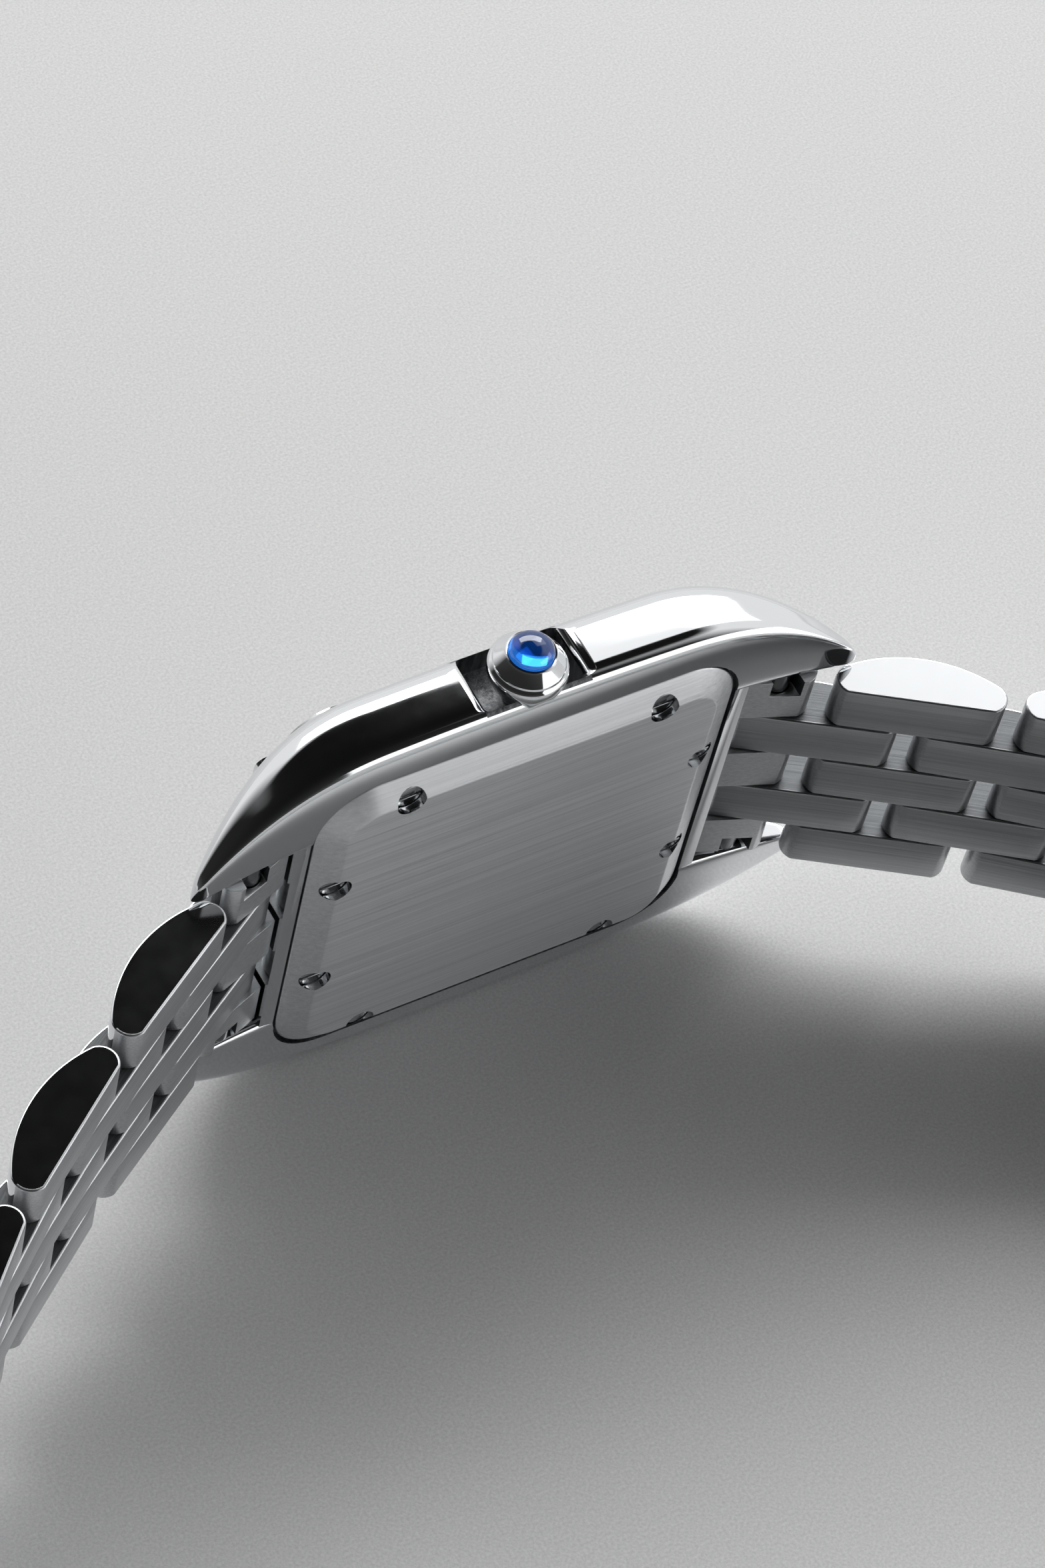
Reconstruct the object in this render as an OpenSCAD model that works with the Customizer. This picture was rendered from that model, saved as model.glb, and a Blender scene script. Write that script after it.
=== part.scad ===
// Square wristwatch on a five column brick bracelet, standing on its nine o'clock flank.
// Watch frame: +X to twelve o'clock, +Y to the dial, +Z to the crown. Sizes in millimetres.

/* [Case] */
// Width of the case from flank to flank
case_w = 27; // [26.8:0.1:28.4]
// Length of the case over the tips of the horns
lug_len = 37; // [36.4:0.1:38.5]
// Distance between the horns, where the bracelet goes in
horn_gap = 15.2; // [15.2:0.05:15.5]
// Height of the case front above the middle plane
front_y = 2.5; // [2.4:0.05:2.7]
// How far the horn tips drop toward the wrist
horn_drop = 5.1; // [4.8:0.1:5.4]
// How far the flanks draw in at the horn tips
horn_pinch = 5.0; // [4.8:0.1:5.2]

/* [Case back] */
// Half length of the flat field of the back plate
flat_x = 10.25; // [10.1:0.05:10.4]
// Half width of the flat field of the back plate
flat_z = 9.75; // [9.6:0.05:9.9]
// Width of the bevel round the back plate
bevel_w = 1.45; // [1.3:0.05:1.5]
// Height of the bevel
bevel_h = 0.78; // [0.6:0.02:0.8]
// Distance of the crown side screws from the middle
screw_a = 7.0; // [6.6:0.1:7.4]
// Distance of the end screws from the middle
screw_b = 4.05; // [3.6:0.05:4.4]

/* [Dial side] */
// Half length of the bezel
bezel_x = 10.9; // [10.8:0.05:11.1]
// Half width of the bezel
bezel_z = 10.6; // [10.5:0.05:10.7]
// Radius of the bezel corners
bezel_r = 2.6; // [2.3:0.1:2.9]
// Height of the crystal over the bezel
crystal_rise = 0.2; // [0.1:0.05:0.3]
// Length of the minute hand from its axis
minute_len = 7.6; // [6.8:0.1:8]
// Length of the hour hand from its axis
hour_len = 5.2; // [4.6:0.1:5.8]

/* [Crown] */
// Radius of the crown at its shoulder
crown_r = 2.0; // [1.9:0.05:2.1]
// Height of the crown axis over the middle plane
crown_y = -0.5; // [-0.55:0.01:-0.45]
// Radius of the blue stone
stone_r = 1.13; // [1.05:0.01:1.2]
// Height of the stone dome
stone_h = 0.75; // [0.6:0.05:0.85]

/* [Bracelet] */
// Distance between two pins
half_pitch = 4.8; // [4.7:0.02:4.9]
// Distance between two brick columns
col_pitch = 3.0; // [2.9:0.01:3.0]
// Width of one brick
brick_w = 2.9; // [2.75:0.01:2.9]
// Reach of a brick beyond its pins
brick_reach = 1.95; // [1.85:0.01:1.97]
// Radius of the rounded brick ends
end_r = 0.95; // [0.9:0.01:1]
// Height of the domed outer face over the pins
outer_h = 1.85; // [1.7:0.05:1.95]
// Radius of the bracelet pins
pin_r = 0.5; // [0.4:0.01:0.55]
// Angle of the first row under the middle plane
first_angle = 31.5; // [30:0.5:33]
// How quickly the loop turns in from row to row
turn_growth = 0.55; // [0.52:0.01:0.57]

/* [Clasp] */
// Length of a clasp blade between its pins
blade_len = 17; // [16:0.5:18]
// Length of the clasp plate between its pins
plate_len = 32; // [30:0.5:33]
// Thickness of the clasp blades
blade_t = 0.9; // [0.7:0.05:1]
// Direction of the first blade under the middle plane
blade_angle = 162; // [158:1:166]

/* [Hidden] */
$fn = 64;

// Fits and shared heights
run_fit = 0.05;
press_fit = 0.02;
part_gap = 0.12;
over = 1;
weld = 0.03;
row_count = 14;

// Case heights, from the wrist to the dial
back_y = -2.4;
back_flat_y = -3.1;
back_edge_y = back_flat_y + bevel_h;
back_seat_y = -1.9;
dial_seat_y = 0.9;
dial_t = 0.4;
bezel_seat_y = 1.9;
bezel_top_y = 2.9;
crystal_seat_y = 2.15;
crystal_top_y = bezel_top_y + crystal_rise;

// Case outline
end_wall_w = 0.9;
end_wall_x = flat_x + bevel_w + end_wall_w;
horn_run = 4.6;
horn_start = end_wall_x - horn_run;
flank_z = case_w / 2;
tip_x = lug_len / 2;
horn_z = horn_gap / 2;
tip_round = 0.7;
tip_min = 0.3;
horn_back_drop = 0.7;
guard_dip = 0.5;
guard_width = 4;
side_power = 2.2;
inner_power = 6;
belly = 0.35;
core_z = 9.2;
core_r = 0.6;
core_front_drop = 0.2;
rail_steps = 28;
rail_points = 24;

// Cavities of the case
cavity_x = 9.2;
cavity_z = 8.7;
cavity_r = 2;
dial_x = 9.5;
dial_z = 9.1;
dial_r = 2;
recess_x = 2.7;
recess_y = 1.8;
recess_deep = 2.3;
recess_floor_z = flank_z - recess_deep;
recess_r = 0.4;

// Case back
plate_x = flat_x + bevel_w;
plate_z = flat_z + bevel_w;
plate_r = 3.2;
screw_head_r = 0.72;
screw_hole_r = 0.79;
screw_shank_r = 0.38;
screw_bore_r = 0.5;
screw_seat_y = -2.3;
screw_head_t = 0.35;
screw_deep_y = -0.7;
slot_w = 0.2;
slot_t = 0.16;
gasket_w = 0.6;
gasket_t = 0.3;
gasket_off = 1.15;
gasket_x = flat_x + gasket_off;
gasket_z = flat_z + gasket_off;

// Dial side
bezel_open_x = 9.7;
bezel_open_z = 9.4;
bezel_lip = 0.6;
open_r = 1.6;
seal_w = 0.3;
bezel_screw_r = 0.4;
bezel_screw_in = 0.62;
bezel_screw_off = 2.2;
bezel_shank_r = 0.25;
bezel_shank_deep = 0.9;
bezel_head_t = 0.3;

// Movement
move_r = 7.65;
move_y0 = -1.6;
move_y1 = 0.8;
holder_gap = 0.1;
cell_r = 3.4;
cell_x = -3.4;
cell_z = -2.2;
cell_y0 = -1.8;
cell_t = 1.5;
board_y = -1.85;
board_t = 0.2;
board_in = 0.6;
board_edge = 1;
coil_r = 0.6;
coil_len = 5;
coil_x = 1.6;
coil_z = -5.6;
stem_r = 0.4;
stem_z0 = 4.6;
crown_sink = 1.0;
crown_z0 = flank_z - crown_sink;
stem_hold = 0.7;
stem_z1 = crown_z0 + stem_hold;
pinion_r = 0.85;
pinion_z0 = 5.4;
pinion_len = 1.2;
tube_r = 0.85;
tube_z0 = 9.4;
tube_gap = 0.3;
tube_z1 = crown_z0 - tube_gap;
post_r = 0.35;
post_y0 = 0.1;
cannon_r = 0.6;
wheel_r = 0.95;
wheel_rim_r = 2.2;
wheel_y0 = 0.3;
wheel_t = 0.2;
hour_y = 1.42;
minute_y = 1.74;
hand_t = 0.14;
hand_w = 0.8;
hour_tail = 1.8;
minute_tail = 2;
hour_hub_w = 0.45;
minute_hub_w = 0.1;
hour_turn = 304;
minute_turn = 48;

// Crown
crown_skirt_in = 0.28;
crown_skirt_r = crown_r - crown_skirt_in;
crown_skirt_flare = 0.5;
crown_skirt_h = 1.05;
crown_shoulder_h = 1.45;
crown_shoulder_z = crown_z0 + crown_shoulder_h;
crown_cone_h = 1.85;
crown_cone_z = crown_z0 + crown_cone_h;
crown_cone_in = 0.22;
crown_cone_r = crown_r - crown_cone_in;
crown_h = 2.55;
crown_rim_z = crown_z0 + crown_h;
crown_rim_w = 0.1;
crown_rim_r = stone_r + crown_rim_w;
crown_foot_h = 0.3;
crown_foot_z = crown_z0 + crown_foot_h;
crown_foot_r = crown_skirt_r - crown_rim_w;
crown_swell_h = 1.0;
crown_swell_z = crown_z0 + crown_swell_h;
crown_swell_in = 0.12;
crown_swell_r = crown_r - crown_swell_in;
crown_wall_h = 0.15;
crown_wall_z0 = crown_shoulder_z - crown_wall_h;
crown_wall_z1 = crown_shoulder_z + crown_rim_w;
stone_deep = 0.35;
stone_seat_z = crown_rim_z - stone_deep;
crown_hollow_r = 1.1;
crown_hollow_h = 0.5;
crown_hollow_z = crown_z0 + crown_hollow_h;
crown_facets = 8;

// Bracelet
bar_out = 2.2;
bar_x = end_wall_x + bar_out;
bar_y = -1.8;
bar_r = 0.65;
bar_deep = 0.7;
bar_half = horn_z + bar_deep;
bar_hole = bar_half + part_gap;
inner_t = 0.9;
brick_len = half_pitch + 2 * brick_reach;
brick_e = brick_len / 2 - end_r;
brick_meet = 40;
meet_u = brick_e + end_r * sin(brick_meet);
meet_v = end_r * cos(brick_meet);
outer_rise = outer_h - meet_v;
outer_big_r = (meet_u * meet_u + outer_rise * outer_rise) / (2 * outer_rise);
pin_in = 0.65;
pin_half = 2 * col_pitch + brick_w / 2 - pin_in;
end_link_angle = 20;
end_link_gap = 0.12;
notch_x = 1.5;
notch_z = 1.15;

// Clasp
knuckle_r = 0.75;
clasp_pin_r = 0.4;
arm_gap = 0.15;
arm_z0 = col_pitch / 2 + arm_gap;
arm_z1 = col_pitch / 2 + brick_w - run_fit;
arm_clear = 0.5;
arm_reach = brick_reach + arm_clear;
mid_gap = 0.2;
mid_arm_z = arm_z0 - mid_gap;
blade_back = 2.2;
plate_t = 1.0;
plate_drop = 1.1;
plate_end = 0.95;
hook_out = 1.3;

function row_angle(k) = first_angle + turn_growth * k * k;
function pin_x(k) = k == 0 ? bar_x : pin_x(k - 1) + half_pitch * cos(row_angle(k - 1));
function pin_y(k) = k == 0 ? bar_y : pin_y(k - 1) - half_pitch * sin(row_angle(k - 1));

// The bracelet is narrower than the case, so the watch leans until both touch the ground.
loop_y = pin_y(row_count) - end_r;
band_z = 2 * col_pitch + brick_w / 2;
foot_y = -0.9;
lean = atan((flank_z - band_z) / (foot_y - loop_y));
floor_z = flank_z * cos(lean) - foot_y * sin(lean);
clasp_y = pin_y(row_count) - blade_len * sin(blade_angle) - knuckle_r;
front_edge = bezel_top_y * cos(lean) + bezel_z * sin(lean);
back_edge = clasp_y * cos(lean) - arm_z1 * sin(lean);
shift_y = (front_edge + back_edge) / 2;

module stand() {
    translate([0, -shift_y, floor_z])
        rotate([lean, 0, 0])
            children();
}

// A slab between two heights, with its outline drawn as [x, z].
module slab(y0, y1) {
    translate([0, y1, 0])
        rotate([90, 0, 0])
            linear_extrude(height = y1 - y0)
                children();
}

// A round bar along Y between two heights.
module post(r, y0, y1) {
    translate([0, y1, 0])
        rotate([90, 0, 0])
            cylinder(r = r, h = y1 - y0);
}

module round_rect(hx, hz, r) {
    square([2 * hx, 2 * (hz - r)], center = true);
    square([2 * (hx - r), 2 * hz], center = true);
    for (sx = [-1, 1])
        for (sz = [-1, 1])
            translate([sx * (hx - r), sz * (hz - r)])
                circle(r = r);
}

module round_frame(hx, hz, r, w) {
    difference() {
        round_rect(hx, hz, r);
        round_rect(hx - w, hz - w, r - w);
    }
}

// One flank of the case with its two horns, as rings of points round a curved bar.
function horn_u(x) = max(0, (abs(x) - horn_start) / (tip_x - horn_start));
function tip_u(x) = max(0, (abs(x) - tip_x + tip_round) / tip_round);
function tip_s(x) = max(tip_min, sqrt(max(0, 1 - pow(tip_u(x), 2))));
function dip_at(x, dip) = dip * exp(-pow(x / guard_width, 2));
function rail_top(x, dip) = flank_z - horn_pinch * pow(horn_u(x), side_power) - dip_at(x, dip);
function rail_front(x) = front_y - horn_drop * pow(horn_u(x), 2);
function rail_back(x) = back_y - horn_back_drop * pow(horn_u(x), 2);
function rail_mid(x, dip) = horn_z + belly * (rail_top(x, dip) - horn_z);
function soft(v, p) = sign(v) * pow(abs(v), 2 / p);
function rail_y(x, a, p) = (rail_front(x) + rail_back(x)) / 2
    + (rail_front(x) - rail_back(x)) / 2 * tip_s(x) * soft(cos(a), p);
function rail_outer(x, a, dip) = [x, rail_y(x, a, side_power),
    rail_mid(x, dip) + (rail_top(x, dip) - rail_mid(x, dip)) * tip_s(x) * soft(sin(a), side_power)];
function rail_inner(x, a, dip) = [x, rail_y(x, a, inner_power),
    rail_mid(x, dip) + (rail_mid(x, dip) - horn_z) * tip_s(x) * soft(sin(a), inner_power)];
function rail_point(x, a, dip) = sin(a) >= 0 ? rail_outer(x, a, dip) : rail_inner(x, a, dip);

module rail(dip) {
    points = [for (i = [0:rail_steps])
        for (j = [0:rail_points - 1])
            rail_point(tip_x * sin(90 * (2 * i / rail_steps - 1)), 360 * j / rail_points, dip)];
    walls = [for (i = [0:rail_steps - 1])
        for (j = [0:rail_points - 1])
            let (a = i * rail_points + j, b = i * rail_points + (j + 1) % rail_points)
                each [[a, b + rail_points, b], [a, a + rail_points, b + rail_points]]];
    first_cap = [[for (j = [0:rail_points - 1]) j]];
    last_cap = [[for (j = [rail_points - 1:-1:0]) rail_steps * rail_points + j]];
    polyhedron(points = points, faces = concat(walls, first_cap, last_cap), convexity = 6);
}

module back_screw_places() {
    for (sx = [-1, 1])
        for (sz = [-1, 1]) {
            translate([sx * screw_a, 0, sz * flat_z])
                children();
            translate([sx * flat_x, 0, sz * screw_b])
                children();
        }
}

module bezel_screw_places() {
    for (sx = [-1, 1])
        for (sz = [-1, 1]) {
            translate([sx * (bezel_x - bezel_screw_off), 0, sz * (bezel_z - bezel_screw_in)])
                children();
            translate([sx * (bezel_x - bezel_screw_in), 0, sz * (bezel_z - bezel_screw_off)])
                children();
        }
}

module along_crown(z0, z1, r) {
    translate([0, crown_y, z0])
        cylinder(r = r, h = z1 - z0);
}

module case_shell() {
    rail(guard_dip);
    mirror([0, 0, 1])
        rail(0);
    slab(back_y + weld, front_y - core_front_drop)
        round_rect(end_wall_x, core_z, core_r);
}

module case_cuts() {
    slab(back_edge_y - over, back_seat_y)
        round_rect(plate_x + part_gap, plate_z + part_gap, plate_r + part_gap);
    slab(back_seat_y - over, dial_seat_y + over)
        round_rect(cavity_x, cavity_z, cavity_r);
    slab(dial_seat_y, bezel_seat_y + over)
        round_rect(dial_x + run_fit, dial_z + run_fit, dial_r);
    slab(bezel_seat_y, front_y + over)
        round_rect(bezel_x + run_fit, bezel_z + run_fit, bezel_r + run_fit);
    translate([0, 0, recess_floor_z])
        linear_extrude(height = 3 * over)
            round_rect(recess_x, recess_y, recess_r);
    along_crown(cavity_z - over, recess_floor_z + over, tube_r);
    translate([bar_x, bar_y, -bar_hole])
        cylinder(r = bar_r + run_fit, h = 2 * bar_hole);
    translate([-bar_x, bar_y, -bar_hole])
        cylinder(r = bar_r + run_fit, h = 2 * bar_hole);
    back_screw_places()
        post(screw_shank_r, back_seat_y - over, screw_deep_y);
    bezel_screw_places()
        post(bezel_shank_r, bezel_seat_y - bezel_shank_deep, bezel_seat_y + over);
    slab(back_seat_y - over, back_seat_y + gasket_t / 2)
        round_frame(gasket_x + run_fit, gasket_z + run_fit, plate_r - run_fit, gasket_w + 2 * run_fit);
}

module case_body() {
    color("silver")
        stand()
            difference() {
                case_shell();
                case_cuts();
            }
}

module bezel() {
    color("gainsboro")
        stand()
            difference() {
                slab(bezel_seat_y, bezel_top_y)
                    round_rect(bezel_x, bezel_z, bezel_r);
                slab(crystal_seat_y, bezel_top_y + over)
                    round_rect(bezel_open_x, bezel_open_z, open_r);
                slab(bezel_seat_y - over, bezel_top_y + over)
                    round_rect(bezel_open_x - bezel_lip, bezel_open_z - bezel_lip, open_r - bezel_lip);
                bezel_screw_places()
                    post(bezel_screw_r + press_fit, bezel_top_y - bezel_head_t, bezel_top_y + over);
                bezel_screw_places()
                    post(bezel_shank_r + run_fit, bezel_seat_y - over, bezel_top_y);
            }
}

module slotted_screw(head_r, shank_r, deep_y, seat_y, top_y) {
    difference() {
        union() {
            post(shank_r, deep_y, seat_y + press_fit);
            post(head_r, seat_y, top_y);
        }
        translate([-head_r - over, top_y - slot_t, -slot_w / 2])
            cube([2 * head_r + 2 * over, over, slot_w]);
    }
}

module bezel_screws() {
    color("gray")
        stand()
            bezel_screw_places()
                slotted_screw(bezel_screw_r, bezel_shank_r - press_fit, bezel_seat_y - bezel_shank_deep + press_fit,
                    bezel_top_y - bezel_head_t, bezel_top_y - press_fit);
}

module crystal() {
    color("lightcyan")
        stand()
            slab(crystal_seat_y + press_fit, crystal_top_y)
                round_rect(bezel_open_x - seal_w, bezel_open_z - seal_w, open_r - seal_w);
}

module crystal_gasket() {
    color("dimgray")
        stand()
            slab(crystal_seat_y + press_fit, bezel_top_y - press_fit)
                round_frame(bezel_open_x - press_fit, bezel_open_z - press_fit, open_r - press_fit,
                    seal_w - 2 * press_fit);
}

module dial() {
    color("ivory")
        stand()
            difference() {
                slab(dial_seat_y + press_fit, dial_seat_y + dial_t)
                    round_rect(dial_x, dial_z, dial_r - run_fit);
                post(wheel_r + 3 * run_fit, dial_seat_y - over, dial_seat_y + over);
            }
}

module hand(len, tail, hub_r, bore_r, y0) {
    difference() {
        union() {
            post(hub_r, y0, y0 + hand_t);
            translate([0, y0 + hand_t, 0])
                rotate([90, 0, 0])
                    linear_extrude(height = hand_t)
                        polygon([[-tail, -hand_w / 4], [-tail, hand_w / 4], [0, hand_w / 2], [len, hand_w / 8],
                            [len, -hand_w / 8], [0, -hand_w / 2]]);
        }
        post(bore_r, y0 - over, y0 + over);
    }
}

module hour_hand() {
    color("midnightblue")
        stand()
            rotate([0, -hour_turn, 0])
                hand(hour_len, hour_tail, wheel_r + hour_hub_w, wheel_r + press_fit, hour_y);
}

module minute_hand() {
    color("midnightblue")
        stand()
            rotate([0, -minute_turn, 0])
                hand(minute_len, minute_tail, wheel_r + minute_hub_w, cannon_r + press_fit, minute_y);
}

module hour_wheel() {
    color("goldenrod")
        stand()
            difference() {
                union() {
                    post(wheel_r, wheel_y0, hour_y + hand_t);
                    post(wheel_rim_r, wheel_y0, wheel_y0 + wheel_t);
                }
                post(cannon_r + run_fit, wheel_y0 - over, hour_y + over);
            }
}

module cannon_pinion() {
    color("darkgoldenrod")
        stand()
            difference() {
                post(cannon_r, wheel_y0, minute_y + hand_t);
                post(post_r + run_fit, wheel_y0 - over, minute_y - hand_t);
            }
}

module cell_place() {
    translate([cell_x, 0, cell_z])
        children();
}

module coil_place(r, half) {
    translate([coil_x - half, (move_y0 + move_y1) / 2, coil_z])
        rotate([0, 90, 0])
            cylinder(r = r, h = 2 * half);
}

module movement() {
    color("darkkhaki")
        stand()
            difference() {
                union() {
                    post(move_r, move_y0, move_y1);
                    post(post_r, post_y0, minute_y - 2 * hand_t);
                }
                difference() {
                    post(wheel_rim_r + part_gap, wheel_y0 - run_fit, move_y1 + over);
                    post(post_r, wheel_y0 - over, minute_y - 2 * hand_t);
                }
                cell_place()
                    post(cell_r + run_fit, cell_y0 - over, cell_y0 + cell_t + run_fit);
                coil_place(coil_r + run_fit, coil_len / 2 + run_fit);
                along_crown(stem_z0 - run_fit, move_r + over, stem_r + run_fit);
                along_crown(pinion_z0 - run_fit, pinion_z0 + pinion_len + run_fit, pinion_r + run_fit);
            }
}

module circuit_board() {
    color("darkgreen")
        stand()
            difference() {
                slab(board_y, board_y + board_t)
                    difference() {
                        circle(r = move_r - board_in);
                        translate([cell_x, cell_z])
                            circle(r = cell_r + 3 * part_gap);
                    }
                translate([-move_r, board_y - over, pinion_z0 - board_edge])
                    cube([2 * move_r, 2 * over, move_r]);
            }
}

module drive_coil() {
    color("chocolate")
        stand()
            coil_place(coil_r, coil_len / 2);
}

module battery() {
    color("lightgray")
        stand()
            cell_place()
                post(cell_r, cell_y0, cell_y0 + cell_t);
}

module movement_holder() {
    color("whitesmoke")
        stand()
            difference() {
                slab(back_seat_y + run_fit, dial_seat_y)
                    round_rect(cavity_x - run_fit, cavity_z - run_fit, cavity_r - run_fit);
                post(move_r + holder_gap, back_seat_y - over, dial_seat_y + over);
                along_crown(move_r - over, cavity_z + over, tube_r);
            }
}

module setting_pinion() {
    color("goldenrod")
        stand()
            difference() {
                along_crown(pinion_z0, pinion_z0 + pinion_len, pinion_r);
                along_crown(pinion_z0 - over, pinion_z0 + pinion_len + over, stem_r + run_fit);
            }
}

module winding_stem() {
    color("slategray")
        stand()
            along_crown(stem_z0, stem_z1, stem_r);
}

module crown_tube() {
    color("darkgray")
        stand()
            difference() {
                along_crown(tube_z0, tube_z1, tube_r - press_fit);
                along_crown(tube_z0 - over, tube_z1 + over, stem_r + run_fit);
            }
}

module crown_body() {
    rotate_extrude()
        polygon([[0, crown_foot_z], [crown_foot_r, crown_foot_z], [crown_swell_r, crown_swell_z],
            [crown_r, crown_wall_z0], [crown_r, crown_wall_z1], [crown_cone_r, crown_cone_z],
            [crown_rim_r + crown_rim_w, crown_rim_z - crown_rim_w], [crown_rim_r, crown_rim_z], [0, crown_rim_z]]);
    intersection() {
        translate([0, 0, crown_z0])
            rotate([0, 0, 180 / crown_facets])
                cylinder(r = crown_skirt_r / cos(180 / crown_facets), h = crown_skirt_h, $fn = crown_facets);
        translate([0, 0, crown_z0])
            cylinder(r1 = crown_skirt_r, r2 = crown_skirt_r + crown_skirt_flare, h = crown_shoulder_z - crown_z0);
    }
}

module crown() {
    color("silver")
        stand()
            translate([0, crown_y, 0])
                difference() {
                    crown_body();
                    translate([0, 0, crown_z0 - over])
                        cylinder(r = crown_hollow_r, h = crown_hollow_z - crown_z0 + over);
                    translate([0, 0, crown_z0 - over])
                        cylinder(r = stem_r + press_fit, h = stem_z1 - crown_z0 + over + press_fit);
                    translate([0, 0, stone_seat_z])
                        cylinder(r = stone_r + press_fit, h = over);
                }
}

module crown_cabochon() {
    dome_r = (stone_r * stone_r + stone_h * stone_h) / (2 * stone_h);
    color("royalblue")
        stand()
            translate([0, crown_y, 0]) {
                translate([0, 0, stone_seat_z + press_fit])
                    cylinder(r = stone_r, h = crown_rim_z - stone_seat_z);
                intersection() {
                    translate([0, 0, crown_rim_z + stone_h - dome_r])
                        sphere(r = dome_r);
                    translate([0, 0, crown_rim_z])
                        cylinder(r = stone_r, h = stone_h + over);
                }
            }
}

module back_gasket() {
    color("black")
        stand()
            slab(back_seat_y, back_seat_y + gasket_t / 2 - press_fit)
                round_frame(gasket_x, gasket_z, plate_r, gasket_w);
}

// The bevel is built from two roof bars and a cone at each corner.
module bevel_bar(half_len, half_low, half_high) {
    rotate([0, -90, 0])
        translate([0, 0, -half_len])
            linear_extrude(height = 2 * half_len)
                polygon([[-half_low, back_edge_y], [half_low, back_edge_y], [half_high, back_flat_y],
                    [-half_high, back_flat_y]]);
}

module back_blank() {
    slab(back_edge_y - weld, back_seat_y)
        round_rect(plate_x, plate_z, plate_r);
    bevel_bar(plate_x - plate_r, plate_z, flat_z);
    rotate([0, 90, 0])
        bevel_bar(plate_z - plate_r, plate_x, flat_x);
    for (sx = [-1, 1])
        for (sz = [-1, 1])
            translate([sx * (plate_x - plate_r), back_edge_y, sz * (plate_z - plate_r)])
                rotate([90, 0, 0])
                    cylinder(r1 = plate_r, r2 = plate_r - bevel_w, h = bevel_h);
}

module case_back() {
    color("darkgray")
        stand()
            difference() {
                back_blank();
                back_screw_places()
                    post(screw_hole_r, back_flat_y - over, screw_seat_y);
                back_screw_places()
                    post(screw_bore_r, back_flat_y, back_seat_y + over);
            }
}

module back_screws() {
    color("gray")
        stand()
            back_screw_places()
                mirror([0, 1, 0])
                    slotted_screw(screw_head_r, screw_shank_r - press_fit, -screw_deep_y + press_fit, -screw_seat_y,
                        -screw_seat_y + screw_head_t);
}

module brick_outline() {
    intersection() {
        union() {
            for (s = [-1, 1])
                translate([s * brick_e, 0])
                    circle(r = end_r);
            translate([-brick_e, -inner_t - weld])
                square([2 * brick_e, inner_t + end_r / 2]);
            intersection() {
                translate([0, outer_h - outer_big_r])
                    circle(r = outer_big_r);
                translate([-meet_u, 0])
                    square([2 * meet_u, outer_h + over]);
            }
        }
        translate([-brick_len, -inner_t])
            square([2 * brick_len, inner_t + outer_h + over]);
    }
}

module bricks(columns) {
    for (c = columns)
        translate([half_pitch / 2, 0, c * col_pitch - brick_w / 2])
            linear_extrude(height = brick_w)
                brick_outline();
}

module pin_bore(u, r) {
    translate([u, 0, -pin_half - press_fit])
        cylinder(r = r, h = 2 * pin_half + 2 * press_fit);
}

// One row: three bricks in the odd columns or two in the even ones, and the pin at its outer end.
module link_row(k) {
    columns = k % 2 == 0 ? [-1, 1] : [-2, 0, 2];
    translate([pin_x(k), pin_y(k), 0])
        rotate([0, 0, -row_angle(k)]) {
            difference() {
                bricks(columns);
                pin_bore(0, (k == 0 ? bar_r : pin_r) + run_fit);
                pin_bore(half_pitch, pin_r + press_fit);
            }
            translate([half_pitch, 0, -pin_half])
                cylinder(r = pin_r, h = 2 * pin_half);
        }
}

module row_12(k) {
    color(k % 2 == 0 ? "lightgray" : "silver")
        stand()
            link_row(k);
}

module row_6(k) {
    color(k % 2 == 0 ? "lightgray" : "silver")
        stand()
            mirror([1, 0, 0])
                link_row(k);
}

module end_link() {
    difference() {
        translate([bar_x, bar_y, 0])
            rotate([0, 0, -end_link_angle])
                translate([-half_pitch, 0, 0])
                    bricks([-2, 0, 2]);
        translate([end_wall_x + end_link_gap - 2 * brick_len, -brick_len, -brick_len])
            cube([2 * brick_len, 2 * brick_len, 2 * brick_len]);
        translate([bar_x, bar_y, -brick_len])
            cylinder(r = bar_r + run_fit, h = 2 * brick_len);
        for (s = [-1, 1])
            translate([bar_x - notch_x / 2, bar_y - brick_len, s * band_z - notch_z])
                cube([notch_x, brick_len, 2 * notch_z]);
    }
}

module end_link_12() {
    color("gainsboro")
        stand()
            end_link();
}

module end_link_6() {
    color("gainsboro")
        stand()
            mirror([1, 0, 0])
                end_link();
}

module spring_bars() {
    color("dimgray")
        stand()
            for (s = [-1, 1])
                translate([s * bar_x, bar_y, -bar_half])
                    cylinder(r = bar_r, h = 2 * bar_half);
}

// A clasp blade: two arms at its first pin and one arm at its second pin.
module blade_solid(len) {
    difference() {
        union() {
            for (s = [-1, 1])
                translate([0, 0, s * (arm_z0 + arm_z1) / 2 - (arm_z1 - arm_z0) / 2]) {
                    cylinder(r = end_r, h = arm_z1 - arm_z0);
                    translate([0, -blade_t / 2, 0])
                        cube([arm_reach + over, blade_t, arm_z1 - arm_z0]);
                }
            translate([arm_reach, -blade_t / 2, -arm_z1])
                cube([len - arm_reach - blade_back, blade_t, 2 * arm_z1]);
            translate([len - blade_back - over, -blade_t / 2, -mid_arm_z])
                cube([blade_back + over, blade_t, 2 * mid_arm_z]);
            translate([len, 0, -mid_arm_z])
                cylinder(r = knuckle_r, h = 2 * mid_arm_z);
        }
        translate([0, 0, -2 * arm_z1])
            cylinder(r = pin_r + run_fit, h = 4 * arm_z1);
        translate([len, 0, -2 * arm_z1])
            cylinder(r = clasp_pin_r + run_fit, h = 4 * arm_z1);
    }
}

module at_blade_12() {
    translate([pin_x(row_count), pin_y(row_count), 0])
        rotate([0, 0, -blade_angle])
            children();
}

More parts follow.
